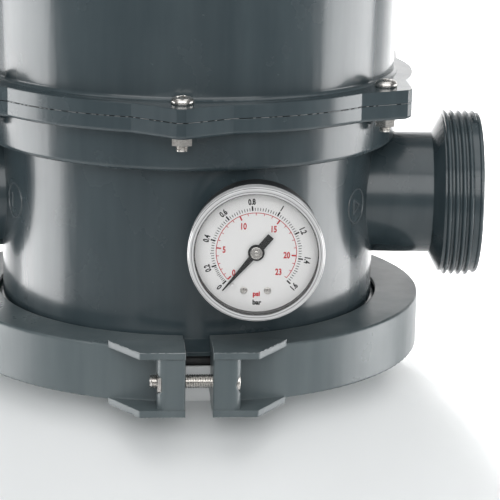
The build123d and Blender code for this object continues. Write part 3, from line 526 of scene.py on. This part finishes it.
NODE_MATERIALS = {
    VALVE_PLASTIC: ["valve_body", "valve_cover", "rotor"],
    CLAMP_PLASTIC: ["clamp_right", "clamp_left"],
    DARK_PLASTIC: ["tank_base", "drain_cap", "drain_spigot", "lateral_hub", "laterals",
                   "top_diffuser", "drain_strainer"],
    GRIP_PLASTIC: ["handle"],
    PIPE_PLASTIC: ["standpipe"],
    WASHER_PLASTIC: ["slip_washer", "spring_washer", "gauge_stem_seal"],
    GAUGE_BLACK: ["gauge_case"],
    TANK_WHITE: ["tank_shell"],
    SEAL_RUBBER: ["neck_o_ring", "spider_gasket", "cover_o_ring", "stem_o_rings", "drain_seal",
                  "drain_gasket"],
    STEEL: ["cover_screws", "cover_nuts", "handle_pin", "gauge_dial_screws", "clamp_screw_front",
            "clamp_screw_back", "clamp_nut_front", "clamp_nut_back"],
    SPRING_STEEL: ["rotor_spring"],
    BRASS: ["gauge_stem", "gauge_movement", "gauge_sector", "bourdon_tube"],
    DIAL_WHITE: ["gauge_dial"],
    POINTER_BLACK: ["gauge_pointer"],
    BEZEL_CLEAR_PAINTED_LIGHT: ["gauge_bezel"],
    LENS_CLEAR: ["gauge_lens"],
    PLATE_GREY: ["position_plate"],
}


def dress_nodes():
    """Give each CAD node its material."""
    for material, names in NODE_MATERIALS.items():
        for name in names:
            slots = nodes[name].data.materials
            slots.clear()
            slots.append(material)


# ---------------------------------------------------------------- gauge
def node_centre(name):
    low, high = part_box(name)
    return [0.5 * (a + b) for a, b in zip(low, high)]


def clock(angle, radius):
    """Point of the dial, in millimetres from its middle, at an angle clockwise from the top."""
    return radius * sin(radians(angle)), radius * cos(radians(angle))


def bar_angle(pressure):
    """Clock angle of a pressure in bar: the scale is tighter below its first number."""
    step, zero_angle, first_angle = 0.2, -135.3, -109.8
    first_sweep, sweep = 25.5, 34.66            # degrees from 0 to 0.2 bar, and for each 0.2 after
    if pressure < step:
        return zero_angle + first_sweep * pressure / step
    return first_angle + sweep * (pressure - step) / step


def add_dial_print():
    """Black bar scale outside, red psi scale inside, with their figures and units."""
    pin_rise = 2.0 * MM                         # how far the stop pin stands out of the dial
    gap, half_depth = 4e-5, 1e-5
    bar_radius, figure_radius, arc = 17.1, 20.9, (16.36, 16.08)
    bar_step, last_bar = 0.02, 80               # ticks of the black scale
    bar_per_psi, last_psi = 0.06895, 23
    centre = node_centre("gauge_case")
    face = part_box("gauge_dial")[0][1] + pin_rise - gap

    def on_dial(x, y, turn=0.0):
        a = radians(turn)
        spot = (centre[0] + x * MM, face, centre[2] + y * MM)
        return placed(spot, (cos(a), 0, -sin(a)), (0, -1, 0))

    def tick(shape, angle, inner, outer, width):
        bar(shape, (-width * MM / 2, inner * MM, -half_depth),
            (width * MM / 2, outer * MM, half_depth), on_dial(0, 0, angle))

    black, red = Shape(), Shape()
    for count in range(last_bar + 1):
        major = count % 10 == 0
        half = count % 5 == 0
        tick(black, bar_angle(bar_step * count), bar_radius,
             19.1 if major else 18.6 if half else 18.3, 0.62 if major else 0.27)
    for count in range(last_psi + 1):
        major = count % 5 == 0
        tick(red, bar_angle(bar_per_psi * count), 14.3 if major else 15.2, 16.25,
             0.6 if major else 0.27)
    low, high = bar_angle(0), bar_angle(last_psi * bar_per_psi)
    steps = 120
    pairs = []
    for step in range(steps + 1):
        angle = low + (high - low) * step / steps
        ends = [clock(angle, radius) for radius in arc]
        pairs.append([(x * MM, y * MM, half_depth) for x, y in ends])
    strip(red, pairs, on_dial(0, 0))
    for count, text in enumerate(("0", "0.2", "0.4", "0.6", "0.8", "1", "1.2", "1.4", "1.6")):
        angle = bar_angle(0.2 * count)
        x, y = clock(angle, figure_radius)
        flip = 180 if abs(angle) > 115 else 0   # the lowest figures stand the other way up
        lettering(black, text, 2.35 * MM, on_dial(x, y, angle + flip), 0.74, 1.3e-4)
    for text, x, y in (("0", -9.0, -8.7), ("5", -13.0, 0.9), ("10", -5.4, 10.7), ("15", 6.8, 9.7),
                       ("20", 12.3, -1.0), ("23", 9.1, -8.0)):
        lettering(red, text, 2.6 * MM, on_dial(x, y), 0.74, 1.2e-4)
    lettering(red, "psi", 2.0 * MM, on_dial(0.3, -17.3), 0.95, 1.2e-4)
    lettering(black, "bar", 2.0 * MM, on_dial(0.5, -20.9), 0.95, 1.3e-4)
    black.piece("dial_print_black", PRINT_BLACK, "filter")
    red.piece("dial_print_red", PRINT_RED, "filter")


def add_gauge_metal():
    """Chromed pointer cap with its rivet, and the two slotted dial screws."""
    centre = node_centre("gauge_case")
    pointer_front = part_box("gauge_pointer")[0][1]
    segments = 48
    cap = Shape()
    rows = [even(*pair, segments) for pair in (
        (0.35, 0.52), (0.75, 0.50), (0.9, 0.42), (0.92, 0.16), (1.25, 0.14), (1.85, 0.16),
        (1.95, 0.30), (2.2, 0.34), (2.42, 0.26), (2.5, 0.10), (2.5, -0.02), (0.3, -0.02))]
    cap.add(*scaled(rings(rows, segments)),
            placed((centre[0], pointer_front, centre[2]), (1, 0, 0), (0, -1, 0)))
    cap.piece("pointer_cap", STEEL, "gauge_needle")

    head_radius, head_height, crown = 1.5, 0.7, 0.4
    shaft = (0.8, 0.12, 0.35, 2.4)
    low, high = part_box("gauge_dial_screws")
    made = scaled(screw(head_radius, head_height, crown, slot_recess, shaft, segments))
    screws = Shape()
    for side, slant in ((-1, 35), (1, 70)):
        x = centre[0] + side * (0.5 * (high[0] - low[0]) - head_radius * MM)
        place = placed((x, low[1] + head_height * MM, 0.5 * (low[2] + high[2])),
                       (cos(radians(slant)), 0, sin(radians(slant))), (0, -1, 0))
        screws.add(*made, place)
    screws.piece("dial_screws_slotted", STEEL, "filter", ["gauge_dial_screws"])


# ---------------------------------------------------------------- fasteners
def add_cover_screws():
    """Six cross-head pan screws with their threads showing below the nuts."""
    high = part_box("cover_screws")[1]
    head_radius, head_height, crown = 4.75, 3.4, 1.9
    shaft = (2.5, 0.32, 0.8, 19.25)
    circle = high[1] - head_radius * MM
    screws = Shape()
    made = scaled(screw(head_radius, head_height, crown, cross_recess, shaft))
    for count in range(BOLTS):
        out = radians(BOLT_STEP * count + FRONT)
        slant = radians(25 + 47 * count)        # each screw stopped at its own turn
        spot = (circle * cos(out), circle * sin(out), high[2] - head_height * MM)
        screws.add(*made, placed(spot, (cos(slant), sin(slant), 0), (0, 0, 1)))
    screws.piece("cover_screws_threaded", STEEL, "filter", ["cover_screws"])


def add_clamp_screws():
    """M6 socket screws that pull the clamp halves together, with their threads."""
    head_seat = 10.95                           # from the joint's middle, along its axis
    head_radius, head_height, crown = 4.95, 6.0, 0.5
    shaft = (2.95, 0.40, 1.0, 31.0)
    made = scaled(screw(head_radius, head_height, crown, hex_recess, shaft, 72))
    for side in ("front", "back"):
        joint = next(j for j in frame["record"]["behaviour"]["joints"]
                     if j["name"] == f"clamp_screw_{side}_turn")
        axis = Vector(joint["axis"])
        spot = Vector(joint["pos_m"]) + axis * head_seat * MM
        shape = Shape()
        shape.add(*made, placed(spot, (0, 0, 1), axis))
        shape.piece(f"clamp_screw_{side}_threaded", STEEL, f"{side}_screw", [f"clamp_screw_{side}"])


def add_spring():
    """Coil spring between rotor and cover, carried on the rotor with a mesh of its own."""
    low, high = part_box("rotor_spring")
    wire, turns, around, per_turn = 2.0, 4.5, 14, 48
    coil = (high[0] - low[0]) / (2 * MM) - wire
    bottom, top = low[2] / MM + wire, high[2] / MM - wire
    steps = int(turns * per_turn)
    vertices, faces = [], []
    for step in range(steps + 1):
        turn = 2 * pi * step / per_turn
        middle = bottom + (top - bottom) * step / steps
        for side in range(around):
            a = 2 * pi * side / around
            radius = coil + wire * cos(a)
            vertices.append((radius * cos(turn), radius * sin(turn), middle + wire * sin(a)))
    for step in range(steps):
        for side in range(around):
            a, b = step * around + side, step * around + (side + 1) % around
            faces.append((a, a + around, b + around, b))
    faces.append(tuple(range(around)))
    faces.append(tuple(steps * around + side for side in reversed(range(around))))
    spring = Shape()
    spring.add(*scaled((vertices, faces)))
    made = spring.piece("rotor_spring_coil", SPRING_STEEL, "rotor", ["rotor_spring"])
    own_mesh(made)


# ---------------------------------------------------------------- marks and flash
def add_port_marks():
    """Raised rings on the body beside the ports, each with a plain arrow."""
    body_radius, height, beside = 83.7, -54.5, 62.6
    ring = [(7.5 * cos(radians(a)), 7.5 * sin(radians(a))) for a in range(0, 361, 5)]
    ridge = [(0.34, -0.1), (0.18, 0.34), (-0.18, 0.34), (-0.34, -0.1)]      # across and out
    faces = [(0, 1, 5, 4), (1, 2, 6, 5), (2, 3, 7, 6), (3, 2, 1, 0), (4, 5, 6, 7)]
    marks = Shape()
    for side in (-1, 1):
        middle = radians(FRONT + side * beside)
        arrow = [(-2.6, -3.2), (2.6 * side + 0.4, 0.0), (-2.6, 3.2), (-2.6, -3.2)]

        def wrapped(across, rise, lift):
            turn = middle + across / body_radius
            radius = (body_radius + lift) * MM
            return radius * cos(turn), radius * sin(turn), up(height + rise)

        for outline in (ring, arrow):
            for (x0, y0), (x1, y1) in zip(outline, outline[1:]):
                along = Vector((x1 - x0, y1 - y0)).normalized()
                out = (along[1], -along[0])
                ends = []
                for x, y in ((x0, y0), (x1, y1)):
                    ends += [wrapped(x + out[0] * wide, y + out[1] * wide, lift)
                             for wide, lift in ridge]
                marks.add(ends, faces)
    # the marks take the lighter plastic: a painted highlight on the ridges
    marks.piece("port_marks", MARK_PAINTED_HIGHLIGHT, "filter")


def ragged(shape, points, out, width, length_step=0.8, gaps=0.3):
    """Thin broken fin of moulding flash along a line of points, in millimetres."""
    out = Vector(out)
    least, half_thickness, slope = 0.35, 0.05, 0.8
    for first, second in zip(points, points[1:]):
        first, second = Vector(first), Vector(second)
        steps = max(1, int((second - first).length / length_step))
        for step in range(steps):
            if DRAW.random() < gaps:
                continue
            a = first.lerp(second, step / steps)
            b = first.lerp(second, (step + 1) / steps)
            rise = out * width * (least + (1 - least) * DRAW.random())
            side = (b - a).normalized().cross(out) * half_thickness
            corners = [a - side, b - side, b - side + rise, a - side + slope * rise]
            corners += [c + 2 * side for c in corners]
            shape.add([c * MM for c in corners], [
                (3, 2, 1, 0), (4, 5, 6, 7), (0, 1, 5, 4), (1, 2, 6, 5), (2, 3, 7, 6), (3, 0, 4, 7)])


def add_flash():
    """Flash on the clamp lugs of both halves at both gaps, and round the flange's parting line."""
    half_gap, root, front, corner = 5.75, (36.9, 98.6), 117.0, 24.1
    lug_top, rib_underside, lug_bottom = level(-98.7), level(-101.5), level(-126.0)
    for body, turn in (("clamp_half", 4.2), ("filter", 184.2)):
        fins = Shape()
        for side in (-1, 1):
            lug = [(half_gap, side * 99.0), (half_gap, side * front), (corner, side * front),
                   (root[0], side * root[1])]
            for height, away in ((lug_top, 1), (lug_bottom, -1)):
                ragged(fins, [(x, y, height) for x, y in lug], (0, 0, away), 0.22)
            upright = [(half_gap, side * front, height) for height in (rib_underside, lug_top)]
            ragged(fins, upright, (0, side, 0), 0.25)
        spin = Matrix.Rotation(radians(turn), 4, "Z")
        fins.vertices = [spin @ v for v in fins.vertices]
        fins.piece(f"flash_{body}", FLASH_PLASTIC, body)
    rim = Shape()
    flange, ear, half_facet, ear_root = 99.3, 109.5, 1.875, 12
    parting = level(-5.75)
    for count in range(BOLTS):
        turn = Matrix.Rotation(radians(BOLT_STEP * count + FRONT), 4, "Z")
        edge = [(flange * cos(radians(a)), flange * sin(radians(a)))
                for a in (-ear_root, *range(ear_root, BOLT_STEP - ear_root + 1, 4))]
        corners = [edge[0], (ear, -half_facet), (ear, half_facet), *edge[1:]]
        corners = [turn @ Vector((x, y, parting)) for x, y in corners]
        for first, second in zip(corners, corners[1:]):
            out = Vector((first + second).xy).normalized()
            ragged(rim, [first, second], (*out, 0), 0.16, 1.1, 0.5)
    rim.piece("flange_flash", FLASH_PLASTIC, "filter")


def add_plate_print():
    """Position numbers and division lines on the selector plate."""
    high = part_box("position_plate")[1]
    outer, inner = high[0] / MM, 36.0
    rise = 4.5 / 65.0                           # slope of the plate, which falls outwards
    line_radius, figure_radius, mark_radius = 57.0, 66.0, 47.0
    under, over = -2e-5, 5e-5                   # the print's two faces
    top = high[2] / MM
    rim_height = top - rise * (outer - inner)
    lines, figures = Shape(), Shape()

    def on_plate(angle, radius):
        a = radians(angle)
        height = rim_height + rise * (outer - radius) + 0.05
        out = Vector((cos(a), sin(a), -rise)).normalized()
        across = Vector((-sin(a), cos(a), 0))
        spot = (radius * cos(a) * MM, radius * sin(a) * MM, height * MM)
        return placed(spot, across, out.cross(-across))

    for count in range(BOLTS):
        middle = FRONT + BOLT_STEP * count
        bar(lines, (-0.3 * MM, -18 * MM, under), (0.3 * MM, 18 * MM, over),
            on_plate(middle + BOLT_STEP / 2, line_radius))
        lettering(figures, str(count + 1), 9 * MM, on_plate(middle, figure_radius), 0.8, 1e-4, 3e-5)
        for step in (-0.9, 0, 0.9):
            bar(lines, ((step - 0.2) * 4 * MM, -1.6 * MM, under),
                ((step + 0.2) * 4 * MM, 1.6 * MM, over), on_plate(middle, mark_radius))
    lines.piece("plate_lines", PRINT_BLACK, "filter")
    figures.piece("plate_numbers", PRINT_BLACK, "filter")


# ---------------------------------------------------------------- build
add_camera()
add_backdrop(backdrop_material())
dress_nodes()
add_dial_print()
add_gauge_metal()
add_cover_screws()
add_clamp_screws()
add_spring()
add_port_marks()
add_flash()
add_plate_print()

scene = bpy.context.scene
world = bpy.data.worlds.new("studio")
world.use_nodes = True
sky = world.node_tree.nodes["Background"].inputs
sky["Color"].default_value = (1, 1, 1, 1)
sky["Strength"].default_value = 0.18
scene.world = world
scene.view_settings.view_transform = "Standard"

for name, side in (("left_softbox", -1), ("right_softbox", 1)):
    add_softbox(name, (side * 1.5, 0.22, 0.37), (0, 0, 0.5), (1.15, 0.75), 14.0)
gauge_level = (0, 0, 0.56)
add_softbox("top_softbox", (0, -0.4, 2.2), gauge_level, (2.2, 1.8), 15.0)
add_softbox("front_softbox", (0, -1.7, 1.4), gauge_level, (3.0, 1.2), 26.0)
add_softbox("backdrop_softbox", (0, 2.6, 1.8), (0, 2.5, 0), (5.0, 1.0), 90.0, 100)
